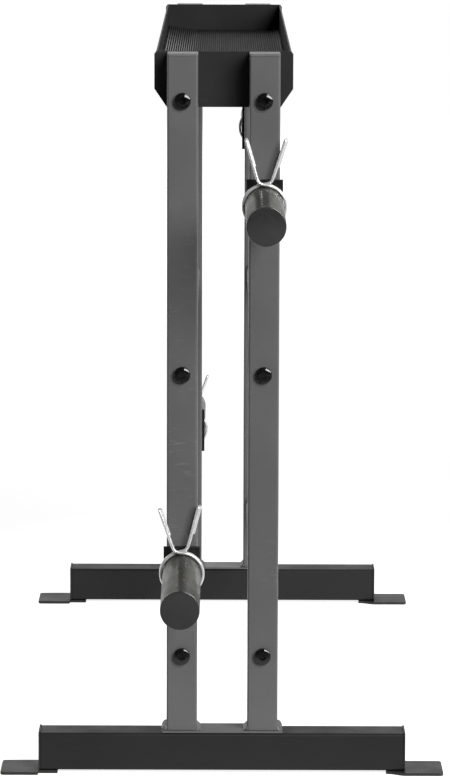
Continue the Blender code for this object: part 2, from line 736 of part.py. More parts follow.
def clip_path():
    """Middle line of the wire: left handle, the turns about Y, right handle. The front turn is at y=0."""
    radius = clip_coil_radius()
    start_angle = math.radians(90) - CLIP_TOP_GAP
    sweep = math.radians(360) * CLIP_TURNS - 2 * CLIP_TOP_GAP
    steps = round(sweep / math.radians(360) * CLIP_TURN_POINTS)
    depth = CLIP_PITCH * CLIP_TURNS
    coil = []
    for step in range(steps + 1):
        share = step / steps
        angle = start_angle - sweep * share
        coil.append(Vector((radius * math.cos(angle), depth * share, radius * math.sin(angle))))
    left, left_up = clip_arm(-1, 0, CLIP_LEFT_HOOK_TURN)
    right, right_up = clip_arm(1, depth, CLIP_RIGHT_HOOK_TURN)
    leave = Vector((-math.sin(start_angle), 0, math.cos(start_angle)))
    arrive = Vector((math.sin(start_angle), 0, math.cos(start_angle)))
    reach = CLIP_ARM_FOOT
    left_bend = bend_between(coil[0], leave, left[0], left_up, reach)
    right_bend = bend_between(coil[-1], arrive, right[0], right_up, reach)
    return left[::-1] + left_bend[::-1] + coil + right_bend + right


def clip_least_gap(points):
    """The least clearance of the wire to itself, on points along its middle line."""
    fine = []
    for first, second in zip(points, points[1:]):
        count = max(1, round((second - first).length / MM))
        fine += [first.lerp(second, step / count) for step in range(count)]
    along = [0.0]
    for first, second in zip(fine, fine[1:]):
        along.append(along[-1] + (second - first).length)
    least = 1.0
    for i, first in enumerate(fine):
        for j in range(i + 1, len(fine)):
            if along[j] - along[i] > 3 * CLIP_WIRE:
                least = min(least, (fine[j] - first).length)
    return least - CLIP_WIRE


def clip_mesh():
    """The spring clip: one wire round the post, both ends bent back on themselves as handles."""
    points = clip_path()
    print("clip: least gap of the wire to itself, mm:", round(clip_least_gap(points) / MM, 2))
    curve = bpy.data.curves.new("clip", "CURVE")
    curve.dimensions = "3D"
    curve.bevel_depth = CLIP_WIRE / 2
    curve.bevel_resolution = 1
    curve.use_fill_caps = True
    spline = curve.splines.new("POLY")
    spline.points.add(len(points) - 1)
    for knot, point in zip(spline.points, points):
        knot.co = (*point, 1)
    return bake(bench_object("clip", curve))


# assembly

def build_feet():
    plate_mesh = floor_plate_mesh()
    foot_mesh = foot_plate_mesh()
    tube_mesh = base_tube_mesh()
    plug_mesh = base_plug_mesh()
    base_end = BASE_LENGTH / 2
    overall_end = base_end + GAP + BASE_PLUG_FLANGE
    for end, way in ENDS:
        y = way * FRAME_SPACING / 2
        place(f"{end}_base_tube", tube_mesh, "base_tube", (0, y, BASE_MIDDLE))
        foot_z = BASE_TOP + GAP + FOOT_PLATE_THICKNESS / 2
        place(f"{end}_foot_plate", foot_mesh, "upright", (0, y, foot_z))
        for side, sign in SIDES:
            turn = 0 if sign == 1 else math.pi
            x = sign * overall_end
            place(f"{end}_{side}_floor_plate", plate_mesh, "floor_plate", (x, y, PLATE_THICKNESS / 2), turn)
            x = sign * (base_end + GAP)
            place(f"{end}_{side}_base_plug", plug_mesh, "base_plug", (x, y, BASE_MIDDLE), turn)


def build_uprights():
    plug_mesh = upright_plug_mesh()
    for side, sign in SIDES:
        tube_mesh = upright_mesh(sign, HIGH_POST_HEIGHT if sign == 1 else LOW_POST_HEIGHT)
        x = sign * UPRIGHT_SPACING / 2
        for end, way in ENDS:
            y = way * FRAME_SPACING / 2
            turn = 0 if way == -1 else math.pi
            place(f"{end}_{side}_upright", tube_mesh, "upright", (x, y, UPRIGHT_BOTTOM))
            place(f"{end}_{side}_upright_plug", plug_mesh, "upright_plug", (x, y, UPRIGHT_TOP + GAP), turn)


def build_frame_bolts():
    length = UPRIGHT_SIDE + 2 * GAP + TRAY_PLATE_SHEET + NUT_HEIGHT + BOLT_END
    mesh = button_bolt_mesh(
        BOLT_HEAD, BOLT_HEAD_HEIGHT, BOLT_SOCKET, BOLT_SOCKET_DEPTH, BOLT_SHANK, length
    )
    levels = (("tray", TRAY_BOLT_HEIGHT), ("mid_rail", MID_RAIL_HEIGHT), ("low_rail", LOW_RAIL_HEIGHT))
    for end, way in ENDS:
        turn = 0 if way == -1 else math.pi
        for side, sign in SIDES:
            for level, height in levels:
                place_at = (sign * UPRIGHT_SPACING / 2, way * (OUTER_FACE + GAP), height)
                place(f"{end}_{side}_{level}_bolt", mesh, "bolt", place_at, turn)


def build_tray():
    plate_y = INNER_FACE - GAP
    channel_half = plate_y - TRAY_PLATE_SHEET - GAP
    channel_mesh = tray_channel_mesh(2 * channel_half)
    place("tray_channel", channel_mesh, "tray", (0, 0, TRAY_WALL_TOP))
    end_mesh = tray_end_mesh()
    for end, way in ENDS:
        turn = 0 if way == -1 else math.pi
        place(f"{end}_tray_end", end_mesh, "tray", (0, way * plate_y, TRAY_PLATE_TOP), turn)
    mat_z = TRAY_WALL_TOP - TRAY_DEPTH + TRAY_SHEET + GAP
    place("tray_mat", mat_mesh(2 * (channel_half - GAP)), "mat", (0, 0, mat_z), smooth_angle=20)


def build_rails():
    mesh = rail_mesh(2 * (INNER_FACE - GAP))
    for side, sign in SIDES:
        x = sign * UPRIGHT_SPACING / 2
        place(f"{side}_mid_rail", mesh, "rail", (x, 0, MID_RAIL_HEIGHT))
        place(f"{side}_low_rail", mesh, "rail", (x, 0, LOW_RAIL_HEIGHT))


def build_posts():
    plate_mesh = bracket_mesh()
    tube_mesh = post_mesh()
    cap_mesh = post_cap_mesh()
    wire_mesh = clip_mesh()
    bolt_length = UPRIGHT_SIDE + 3 * GAP + BRACKET_THICKNESS + POST_ROOT
    bolt_mesh = button_bolt_mesh(
        POST_BOLT_HEAD, POST_BOLT_HEAD_HEIGHT, POST_BOLT_SOCKET, POST_BOLT_SOCKET_DEPTH, POST_BOLT_SHANK,
        bolt_length
    )
    root_y = OUTER_FACE + 2 * GAP + BRACKET_THICKNESS
    clip_y = root_y + CLIP_TO_BRACKET + CLIP_WIRE / 2 + CLIP_PITCH * CLIP_TURNS
    for end, way in ENDS:
        outward = 0 if way == -1 else math.pi
        inward = math.pi - outward
        for side, sign in SIDES:
            x = sign * UPRIGHT_SPACING / 2
            z = HIGH_POST_HEIGHT if sign == 1 else LOW_POST_HEIGHT
            name = f"{end}_high" if sign == 1 else f"{end}_low"
            plate_y = way * (OUTER_FACE + GAP + BRACKET_THICKNESS / 2)
            place(f"{name}_post_bracket", plate_mesh, "bracket", (x, plate_y, z), outward)
            place(f"{name}_post", tube_mesh, "post", (x, way * root_y, z), outward)
            tip_y = way * (root_y + POST_LENGTH + GAP)
            place(f"{name}_post_cap", cap_mesh, "post_cap", (x, tip_y, z), outward)
            tilt = HIGH_CLIP_TURN if sign == 1 else LOW_CLIP_TURN
            place(f"{name}_clip", wire_mesh, "clip", (x, way * clip_y, z), outward, tilt)
            bolt_y = way * (INNER_FACE - GAP)
            place(f"{name}_post_bolt", bolt_mesh, "bolt", (x, bolt_y, z), inward)


empty_scene()
rack = collection("weight_storage_rack")
bench = collection("bench")
build_feet()
build_uprights()
build_frame_bolts()
build_tray()
build_rails()
build_posts()
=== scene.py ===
"""Weight storage rack: the finish of every piece, the studio round it and the camera.

X runs across the rack, Y along it and Z up, in metres. The camera looks along +Y at the front end frame.
"""

import json
import math

import bmesh
import bpy
from mathutils import Matrix, Vector

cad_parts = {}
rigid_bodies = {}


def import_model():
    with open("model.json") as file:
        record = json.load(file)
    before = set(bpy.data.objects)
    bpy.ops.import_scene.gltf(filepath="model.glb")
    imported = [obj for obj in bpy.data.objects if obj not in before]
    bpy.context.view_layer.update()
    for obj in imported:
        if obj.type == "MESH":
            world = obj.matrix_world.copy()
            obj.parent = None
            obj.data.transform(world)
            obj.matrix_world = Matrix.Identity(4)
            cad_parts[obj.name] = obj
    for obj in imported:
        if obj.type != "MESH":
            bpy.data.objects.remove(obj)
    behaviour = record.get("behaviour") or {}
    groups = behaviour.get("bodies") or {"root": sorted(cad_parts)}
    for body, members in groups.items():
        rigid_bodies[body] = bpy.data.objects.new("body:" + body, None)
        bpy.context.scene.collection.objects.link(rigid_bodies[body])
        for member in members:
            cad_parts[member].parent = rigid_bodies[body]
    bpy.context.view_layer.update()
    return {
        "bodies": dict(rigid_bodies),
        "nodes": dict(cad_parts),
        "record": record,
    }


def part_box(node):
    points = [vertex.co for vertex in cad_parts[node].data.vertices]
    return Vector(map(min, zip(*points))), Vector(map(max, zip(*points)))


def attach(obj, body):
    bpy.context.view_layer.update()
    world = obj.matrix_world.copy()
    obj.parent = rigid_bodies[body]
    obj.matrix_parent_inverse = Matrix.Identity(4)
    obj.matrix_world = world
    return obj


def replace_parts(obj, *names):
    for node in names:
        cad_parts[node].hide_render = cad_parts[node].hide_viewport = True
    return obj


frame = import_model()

MM = 0.001
GAP = 0.3 * MM

# names of what repeats, with the sides' ways along X
ENDS = ("front", "rear")
SIDES = {"left": -1, "right": 1}
POSTS = ("high", "low")

# weld beads at the uprights' feet: a bead's outline bulges at hollow 1, is flat at 2 and sinks in above 2
UPRIGHT_SIDE = 40 * MM
WELD_OUTER_LEG = 6.2 * MM
WELD_OUTER_HOLLOW = 1.0
WELD_INNER_LEG = 5.4 * MM
WELD_INNER_HOLLOW = 2.1
WELD_LENGTH = 39 * MM

# a bead's surface: ripples whose middles lag behind, a slow waver, and thinner ends
WELD_RIPPLE_PITCH = 2.6 * MM
WELD_RIPPLE = 0.07
WELD_RIPPLE_LAG = 0.9 * MM
WELD_WAVER = 0.03
WELD_WAVER_SWEEP = 19.0
WELD_END = 0.72
WELD_END_SLOPE = 9.0

# frame bolts and post bolts: head, head height, socket, socket depth
FRAME_BOLT = (21.5 * MM, 6.6 * MM, 8 * MM, 4 * MM)
POST_BOLT = (17.5 * MM, 5.5 * MM, 6 * MM, 3 * MM)
FRAME_SHANK = 12 * MM
POST_SHANK = 10 * MM
BOLT_EDGE = 0.4 * MM
BOLT_TIP = 1.0 * MM

# a bolt's dome: its radius in head radii, its flat top's radius in socket widths, and its rim's radius
DOME_SPREAD = 2.3
DOME_FLAT = 0.72
DOME_RIM = 1.2 * MM

# posts, caps and rails
POST_WALL = 2.6 * MM
POST_ROOT = 8 * MM
POST_BORE = 10.6 * MM
POST_EDGE = 0.6 * MM
CAP_FLANGE = 4 * MM
CAP_EDGE = 1.4 * MM
CAP_BACK_EDGE = 0.9 * MM
CAP_CROWN = 0.6 * MM
CAP_WALL = 2 * MM
RAIL_WALL = 2.5 * MM
RAIL_BORE = 12.6 * MM
RAIL_PLUG = 12 * MM
RAIL_EDGE = 0.8 * MM

# mat: a wave over its ribs is 1 in the grooves and -1 on the tops. It paints a highlight on the tops and
# shade in the grooves, strong at the left side where the lamps rake the ribs, weak and shifted on the rest,
# and the finish goes from top to groove over its span.
MAT_PITCH = 3.1 * MM
MAT_PAINTED_LIGHT_REACH = (-75 * MM, -32 * MM)
MAT_WAVE_STRENGTH = (0.7, 0.05)
MAT_WAVE_SHIFT = (0.0, 0.115)
MAT_WAVE_SPAN = (-0.31, 0.59)

# spring clips
CLIP_WIRE = 4.2 * MM
CLIP_TURNS = 2
CLIP_PITCH = 5.2 * MM
CLIP_RADIUS = 27.53 * MM
CLIP_TOP_GAP = math.radians(12)
CLIP_ARM_LEAN = math.radians(17)
CLIP_ARM_START = 38 * MM
CLIP_ARM_TOP = 86 * MM
CLIP_ARM_FOOT = 11 * MM
CLIP_HOOK_SPREAD = 5.6 * MM
CLIP_HOOK_LENGTH = 34 * MM
CLIP_LEFT_HOOK_TURN = math.radians(103)
CLIP_RIGHT_HOOK_TURN = math.radians(66)
CLIP_TO_BRACKET = 0.5 * MM
CLIP_TURN_OF = {"high": math.radians(0.8), "low": math.radians(-2.6)}

# softened edges of folded, cut and moulded pieces, and of the floor plates
EDGE = 0.35 * MM
PLATE_EDGE = 0.5 * MM
EDGE_STEPS = 2

# angles above which an edge stays sharp to the eye
HARD_ANGLE = math.radians(32)
BOLT_HARD_ANGLE = math.radians(40)
CLIP_HARD_ANGLE = math.radians(50)
WELD_HARD_ANGLE = math.radians(60)

# points of a mesh closer than this are one point, and faces within this angle are one face
TURNED_MERGE = 0.01 * MM
SOLID_MERGE = 0.005 * MM
FLAT_ANGLE = math.radians(0.5)

# how finely round shapes are drawn
ROUND_STEPS = 96
BOLT_STEPS = 64
COIL_STEPS = 72
BEND_STEPS = 14
ARC_STEPS = 6
SMALL_ARC_STEPS = 3
WIRE_STEPS = 5
WELD_STEPS = 72
WELD_ARC_STEPS = 8

# camera: lens and sensor in millimetres, angles in radians
CAMERA_LENS = 192.08
CAMERA_SENSOR = 36.0
CAMERA_PLACE = (-0.0005, -5.9400, 1.3033)
CAMERA_PITCH = 0.1472
CAMERA_TURN = 0.0006
CAMERA_ROLL = -0.0029
CAMERA_SIGHT = 400.0

# lamps as name, bearing to the right of the camera's side, height angle, size, tilt and watts
LAMPS = (
    ("key", 32.6, 21.6, (6.2, 1.6), 30, 550),
    ("high_key", 38.8, 37.2, (4.8, 1.5), 30, 350),
)
FILL_LAMP = ("back_fill", 204, 12, (7, 3), 0, 600)
LAMP_AIM = Vector((0.0, -0.3, 0.45))
LAMP_DISTANCE = 9.0

# room: its light on dull surfaces, its dark side in mirrors, and the parts of a direction over which
# it gets bright away from the camera's side, bright to either side, and dim again upwards
ROOM_LIGHT = 0.028
ROOM_DARK_SIDE = 0.05
ROOM_DARK_WAYS = (-0.2, 0.5)
ROOM_SIDE_WAYS = (0.75, 0.92)
ROOM_LOW_WAYS = (0.12, 0.4)

# floor: its grey near the rack and further out, its glow near and far, and in metres where mirrors see it
# get bright, behind the rack and outside a wedge at either side
FLOOR_SIZE = 240.0
FLOOR_CELLS = 8
FLOOR_GREYS = (0.92, 0.25)
FLOOR_GREY_REACH = (0.6, 1.4)
FLOOR_GLOW = (0.85, 0.985)
FLOOR_GLOW_REACH = (1.0, 6.0)
FLOOR_DARK_REACH = (-1.4, 0.2)
FLOOR_SIDE_SLOPE = 1.4
FLOOR_SIDE_REACH = (0.0, 1.5)


# node trees

class Wiring:
    """The nodes of a material or of the world, wired up one by one."""

    def __init__(self, tree):
        self.tree = tree

    def put(self, socket, value):
        """Sets a socket to a value, or links it to another node's output."""
        if isinstance(value, bpy.types.NodeSocket):
            self.tree.links.new(value, socket)
        else:
            socket.default_value = value

    def node(self, kind, inputs, **settings):
        """A node with its settings, and with its inputs by number or name."""
        made = self.tree.nodes.new(kind)
        for setting, value in settings.items():
            setattr(made, setting, value)
        for socket, value in inputs.items():
            self.put(made.inputs[socket], value)
        return made

    def math(self, operation, *values):
        """What an operation makes of one or two values."""
        return self.node("ShaderNodeMath", dict(enumerate(values)), operation=operation).outputs[0]

    def parts(self, vector):
        """The X, Y and Z of a vector."""
        return self.node("ShaderNodeSeparateXYZ", {0: vector}).outputs

    def rising(self, value, levels=(0.0, 1.0), span=(0.3, 0.7)):
        """Goes smoothly from one level to the other while the value goes over its span."""
        inputs = {0: value, 1: span[0], 2: span[1], 3: levels[0], 4: levels[1]}
        return self.node("ShaderNodeMapRange", inputs, interpolation_type="SMOOTHSTEP").outputs[0]


# materials

class Look(Wiring):
    """A Principled material, built up in the piece's own coordinates."""

    def __init__(self, name, roughness, metallic=0.0, **sockets):
        self.material = bpy.data.materials.new(name)
        self.material.use_nodes = True
        super().__init__(self.material.node_tree)
        self.shader = self.tree.nodes["Principled BSDF"]
        self.place = self.tree.nodes.new("ShaderNodeTexCoord").outputs["Object"]
        self.shader.inputs["Roughness"].default_value = roughness
        self.shader.inputs["Metallic"].default_value = metallic
        for socket, value in sockets.items():
            self.shader.inputs[socket.replace("_", " ")].default_value = value

    def noise(self, grains, detail=2.0, by_axis=None):
        """Noise from 0 to 1 with so many grains a metre, or that times a factor for each axis."""
        place = self.place
        if by_axis:
            place = self.node("ShaderNodeMapping", {"Vector": place, "Scale": by_axis}).outputs[0]
        inputs = {"Vector": place, "Scale": grains, "Detail": detail}
        return self.node("ShaderNodeTexNoise", inputs).outputs[0]

    def cells(self, grains):
        """Distance to the nearest cell middle, for moulded grain."""
        return self.node("ShaderNodeTexVoronoi", {"Vector": self.place, "Scale": grains}).outputs[0]

    def mix(self, share, first, second):
        """Two colours mixed by a share from 0 to 1."""
        made = self.node("ShaderNodeMix", {0: share}, data_type="RGBA", blend_type="MIX")
        for socket, value in ((made.inputs[6], first), (made.inputs[7], second)):
            self.put(socket, value if isinstance(value, bpy.types.NodeSocket) else (*value, 1.0))
        return made.outputs[2]

    def colour(self, value):
        self.put(self.shader.inputs["Base Color"], value)

    def roughness(self, value):
        self.put(self.shader.inputs["Roughness"], value)

    def bump(self, height, strength, depth):
        """Adds a bump over any that is there already."""
        made = self.node("ShaderNodeBump", {"Height": height, "Strength": strength, "Distance": depth})
        before = self.shader.inputs["Normal"]
        if before.is_linked:
            self.tree.links.new(before.links[0].from_socket, made.inputs["Normal"])
        self.tree.links.new(made.outputs[0], before)


def shade(colour, factor):
    """A colour made lighter or darker."""
    return tuple(channel * factor for channel in colour)


def around(value, margin):
    """The levels a margin below and above a value."""
    return (value - margin, value + margin)


def powder_coat(name, colour, roughness, peel=0.22, gloss=0.3):
    """Baked powder coat: orange peel, slow cloudiness, faint specks and a few light scuffs."""
    look = Look(name, roughness, Specular_IOR_Level=gloss)
    cloud = look.rising(look.noise(7.0, detail=3.0))
    tone = look.mix(cloud, shade(colour, 0.94), shade(colour, 1.05))
    speck = look.rising(look.noise(1400.0, detail=1.0), levels=(0.0, 0.5), span=(0.66, 0.8))
    tone = look.mix(speck, tone, shade(colour, 1.5))
    scuff_line = look.rising(look.noise(60.0, detail=4.0, by_axis=(1.0, 1.0, 6.0)), span=(0.60, 0.68))
    scuff_patch = look.rising(look.noise(11.0), levels=(0.0, 0.35), span=(0.55, 0.68))
    scuff = look.math("MULTIPLY", scuff_line, scuff_patch)
    look.colour(look.mix(scuff, tone, shade(colour, 1.7)))
    look.roughness(look.rising(look.noise(24.0, detail=3.0), levels=around(roughness, 0.05)))
    look.bump(look.noise(420.0), strength=peel, depth=0.3 * MM)
    look.bump(look.noise(2400.0, detail=1.0), strength=peel / 2, depth=0.05 * MM)
    return look.material


def moulded_plastic(name, colour, roughness, gloss=0.35):
    """Injection-moulded plastic with a fine spark-eroded grain."""
    look = Look(name, roughness, Specular_IOR_Level=gloss)
    cloud = look.rising(look.noise(40.0, detail=3.0))
    look.colour(look.mix(cloud, shade(colour, 0.92), shade(colour, 1.07)))
    look.roughness(look.rising(look.noise(160.0), levels=around(roughness, 0.06)))
    look.bump(look.cells(1500.0), strength=0.25, depth=0.06 * MM)
    look.bump(look.noise(260.0), strength=0.15, depth=0.1 * MM)
    return look.material


def drawn_steel(name):
    """Bare tube under a thin oil film: streaks along the tube, warm blotches and dull spots."""
    look = Look(name, 0.32, metallic=0.6, Specular_Tint=(0.42, 0.42, 0.40, 1.0))
    streak = look.rising(look.noise(260.0, detail=3.0, by_axis=(1.0, 0.035, 1.0)), span=(0.35, 0.65))
    tone = look.mix(streak, (0.090, 0.089, 0.082), (0.118, 0.116, 0.107))
    blotch_noise = look.noise(34.0, detail=4.0, by_axis=(1.0, 0.5, 1.0))
    blotch = look.rising(blotch_noise, levels=(0.0, 0.8), span=(0.48, 0.66))
    tone = look.mix(blotch, tone, (0.088, 0.086, 0.058))
    spot_noise = look.noise(150.0, by_axis=(1.0, 0.6, 1.0))
    spot = look.rising(spot_noise, levels=(0.0, 0.8), span=(0.64, 0.74))
    look.colour(look.mix(spot, tone, (0.300, 0.296, 0.284)))
    film = look.noise(90.0, detail=3.0, by_axis=(1.0, 0.2, 1.0))
    look.roughness(look.rising(film, levels=(0.25, 0.36)))
    look.bump(look.noise(900.0, by_axis=(1.0, 0.04, 1.0)), strength=0.12, depth=0.05 * MM)
    look.bump(look.noise(120.0, detail=3.0), strength=0.08, depth=0.2 * MM)
    return look.material


def chrome(name):
    """Bright plating over drawn wire."""
    look = Look(name, 0.25, metallic=0.58)
    haze = look.rising(look.noise(120.0, detail=3.0))
    look.colour(look.mix(haze, (0.92, 0.92, 0.92), (0.97, 0.97, 0.96)))
    look.roughness(look.rising(look.noise(90.0), levels=(0.18, 0.25)))
    look.bump(look.noise(300.0), strength=0.01, depth=0.05 * MM)
    return look.material


def black_oxide(name):
    """Glossy oiled bolt steel."""
    look = Look(name, 0.1, Specular_IOR_Level=0.5)
    cloud = look.rising(look.noise(300.0, detail=3.0))
    look.colour(look.mix(cloud, (0.0035, 0.0035, 0.0037), (0.008, 0.008, 0.008)))
    look.roughness(look.rising(look.noise(420.0), levels=(0.05, 0.10)))
    look.bump(look.noise(800.0), strength=0.02, depth=0.05 * MM)
    return look.material


def ribbed_rubber(name):
    """Dull dusty rubber with smoother rib tops; painted highlight on the tops and painted shade in the
    grooves, strongest at the left side.
    """
    look = Look(name, 0.5, Specular_IOR_Level=0.05)
    across = look.parts(look.place)[0]
    strength = look.rising(across, levels=MAT_WAVE_STRENGTH, span=MAT_PAINTED_LIGHT_REACH)
    shift = look.rising(across, levels=MAT_WAVE_SHIFT, span=MAT_PAINTED_LIGHT_REACH)
    wave = look.math("COSINE", look.math("MULTIPLY", across, math.tau / MAT_PITCH))
    wave = look.math("ADD", look.math("MULTIPLY", wave, strength), shift)
    painted_rib_shading = look.rising(wave, span=MAT_WAVE_SPAN)
    # painted highlight on the rib tops and painted shade in the grooves, strongest at the left side and
    # faint elsewhere
    tone = look.mix(painted_rib_shading, (0.052, 0.052, 0.051), (0.003, 0.003, 0.003))
    dust = look.rising(look.noise(55.0, detail=5.0), levels=(0.0, 0.5), span=(0.50, 0.74))
    look.colour(look.mix(dust, tone, (0.090, 0.089, 0.072)))
    look.roughness(look.rising(wave, levels=(0.20, 0.90), span=MAT_WAVE_SPAN))
    look.bump(look.noise(1800.0), strength=0.03, depth=0.05 * MM)
    return look.material


LOOKS = {
    "upright": powder_coat("grey_powder_coat", (0.124, 0.124, 0.125), 0.38, gloss=0.5),
    "upright_plug": moulded_plastic("grey_moulded_plastic", (0.175, 0.175, 0.175), 0.36),
    "base_tube": powder_coat("black_powder_coat", (0.0168, 0.0168, 0.0172), 0.48, gloss=0.25),
    "base_plug": moulded_plastic("black_plug_plastic", (0.022, 0.022, 0.022), 0.50),
    "floor_plate": powder_coat("black_plate_coat", (0.030, 0.030, 0.029), 0.44),
    "bracket": powder_coat("black_bracket_paint", (0.008, 0.008, 0.008), 0.34, peel=0.12),
    "post": drawn_steel("drawn_steel"),
    "post_cap": moulded_plastic("black_cap_plastic", (0.033, 0.033, 0.033), 0.17, gloss=0.9),
    "clip": chrome("chrome_wire"),
    "bolt": black_oxide("black_oxide"),
    "tray": powder_coat("black_tray_coat", (0.0235, 0.0235, 0.0235), 0.46, gloss=0.18),
    "mat": ribbed_rubber("ribbed_rubber"),
    "rail": powder_coat("black_rail_coat", (0.024, 0.024, 0.024), 0.46),
}

SLOT_OF = {part["node"]: part["material_slot"] for part in frame["record"]["subparts"]}
BODY_OF = {child.name: body for body, empty in frame["bodies"].items() for child in empty.children}


# shapes

def add(name, data):
    """A new object in the scene."""
    made = bpy.data.objects.new(name, data)
    bpy.context.scene.collection.objects.link(made)
    return made


def mesh_from(shape, name):
    """A mesh from a finished shape, its faces turned outward."""
    mesh = bpy.data.meshes.new(name)
    bmesh.ops.recalc_face_normals(shape, faces=shape.faces)
    shape.to_mesh(mesh)
    shape.free()
    return mesh


def taken_from(holder, *helpers):
    """The mesh that an object's modifiers or curve settings give. It and its helpers are removed."""
    graph = bpy.context.evaluated_depsgraph_get()
    mesh = bpy.data.meshes.new_from_object(holder.evaluated_get(graph))
    for made in (holder, *helpers):
        bpy.data.objects.remove(made, do_unlink=True)
    return mesh


def shade_by_angle(mesh, angle=HARD_ANGLE):
    mesh.shade_smooth()
    mesh.set_sharp_from_angle(angle=angle)


def arc(middle, radius, start, end, steps=ARC_STEPS):
    """Points of an arc round a (radius, y) middle, from one angle to another in degrees."""
    points = []
    for step in range(steps + 1):
        angle = math.radians(start + (end - start) * step / steps)
        points.append((middle[0] + radius * math.cos(angle), middle[1] + radius * math.sin(angle)))
    return points


def turned(name, profile, steps, closed=False):
    """A turned shape about Y, from a profile of (radius, y) points."""
    shape = bmesh.new()
    knots = [shape.verts.new((radius, y, 0)) for radius, y in profile]
    pairs = list(zip(knots, knots[1:]))
    if closed:
        pairs.append((knots[-1], knots[0]))
    edges = [shape.edges.new(pair) for pair in pairs]
    bmesh.ops.spin(
        shape, geom=knots + edges, cent=(0, 0, 0), axis=(0, 1, 0), angle=math.radians(360), steps=steps,
        use_merge=True
    )
    bmesh.ops.remove_doubles(shape, verts=shape.verts, dist=TURNED_MERGE)
    mesh = mesh_from(shape, name)
    shade_by_angle(mesh)
    return mesh


def at(x, y, z):
    return Matrix.Translation((x, y, z))


def on_side(node, end, inward=False):
    """Puts a shape's -Y side, at y=0, on the side of a CAD node that faces outward there, or inward."""
    low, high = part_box(node)
    middle = (low + high) / 2
    at_low = (end == "front") != inward
    turn = (0 if end == "front" else math.pi) + (math.pi if inward else 0)
    return at(middle.x, low.y if at_low else high.y, middle.z) @ Matrix.Rotation(turn, 4, "Z")


def round_size(node):
    """Radius and length of a round CAD node along Y."""
    low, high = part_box(node)
    return (high.x - low.x) / 2, high.y - low.y


def piece(name, mesh, place, node):
    """A piece on a CAD node's body and with its finish."""
    made = add(name, mesh.copy())
    made.data.transform(place)
    made.data.materials.clear()
    made.data.materials.append(LOOKS[SLOT_OF[node]])
    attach(made, BODY_OF[node])
    return made


def finished(node, mesh, place):
    """A finer piece that stands for a CAD node, which is then hidden."""
    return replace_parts(piece(f"{node}_finished", mesh, place, node), node)


def softened(node, width=EDGE):
    """A copy of a CAD solid with its facets merged and its hard edges rounded, in place of the solid."""
    shape = bmesh.new()
    shape.from_mesh(frame["nodes"][node].data)
    bmesh.ops.remove_doubles(shape, verts=shape.verts, dist=SOLID_MERGE)
    bmesh.ops.dissolve_limit(
        shape, angle_limit=FLAT_ANGLE, verts=shape.verts, edges=shape.edges, delimit={"NORMAL"}
    )
    hard = [edge for edge in shape.edges if edge.calc_face_angle(0) > HARD_ANGLE]
    bmesh.ops.bevel(
        shape, geom=hard, offset=width, offset_type="OFFSET", segments=EDGE_STEPS, profile=0.5,
        affect="EDGES", clamp_overlap=True
    )
    mesh = mesh_from(shape, node)
    mesh.shade_smooth()
    made = finished(node, mesh, Matrix.Identity(4))
    evened = made.modifiers.new("even_shading", "WEIGHTED_NORMAL")
    evened.keep_sharp = False


# bolts

def hex_key_mesh(width, depth):
    """The prism along Y that a bolt's socket is cut with."""
    shape = bmesh.new()
    corner = width / 2 / math.cos(math.radians(30))
    bmesh.ops.create_cone(
        shape, cap_ends=True, segments=6, radius1=corner, radius2=corner, depth=2 * depth,
        matrix=Matrix.Rotation(math.radians(90), 4, "X")
    )
    return mesh_from(shape, "key")


def bolt_mesh(name, sizes, shank, length):
    """Button-head bolt: its dome's top is at y=0 on the -Y side, its hex socket is cut in."""
    head, height, socket, depth = sizes
    ball = DOME_SPREAD * head / 2
    crown_angle = math.asin(socket * DOME_FLAT / ball)
    rim = head / 2 - DOME_RIM
    rim_angle = math.asin(rim / (ball - DOME_RIM))
    ball_y = ball * math.cos(crown_angle)
    rim_y = ball_y - (ball - DOME_RIM) * math.cos(rim_angle)
    profile = [(0, 0)]
    profile += arc((0, ball_y), ball, math.degrees(crown_angle) - 90, math.degrees(rim_angle) - 90)[:-1]
    profile += arc((rim, rim_y), DOME_RIM, math.degrees(rim_angle) - 90, 0)
    profile += arc((head / 2 - BOLT_EDGE, height - BOLT_EDGE), BOLT_EDGE, 0, 90, SMALL_ARC_STEPS)
    profile += [
        (shank / 2, height), (shank / 2, length - BOLT_TIP), (shank / 2 - BOLT_TIP, length), (0, length),
    ]
    blank = add(name, turned(name, profile, BOLT_STEPS))
    key = add("key", hex_key_mesh(socket, depth))
    cutter = blank.modifiers.new("socket", "BOOLEAN")
    cutter.operation = "DIFFERENCE"
    cutter.solver = "EXACT"
    cutter.object = key
    mesh = taken_from(blank, key)
    shade_by_angle(mesh, BOLT_HARD_ANGLE)
    return mesh


def make_bolts():
    frame_mesh = bolt_mesh("frame_bolt", FRAME_BOLT, FRAME_SHANK, round_size("front_left_tray_bolt")[1])
    post_mesh = bolt_mesh("post_bolt", POST_BOLT, POST_SHANK, round_size("front_high_post_bolt")[1])
    for end in ENDS:
        for side in SIDES:
            for level in ("tray", "mid_rail", "low_rail"):
                node = f"{end}_{side}_{level}_bolt"
                finished(node, frame_mesh, on_side(node, end))
        for post in POSTS:
            node = f"{end}_{post}_post_bolt"
            finished(node, post_mesh, on_side(node, end, inward=True))


# posts and rails

def post_mesh(inner, outer, length):
    """Tube with a thick bored root, its outer end at y=0."""
    profile = [(inner, 0)]
    profile += arc((outer - POST_EDGE, POST_EDGE), POST_EDGE, -90, 0)
    profile += arc((outer - POST_EDGE, length - POST_EDGE), POST_EDGE, 0, 90)
    profile += [(POST_BORE / 2, length), (POST_BORE / 2, length - POST_ROOT), (inner, length - POST_ROOT)]
    return turned("post", profile, ROUND_STEPS, closed=True)


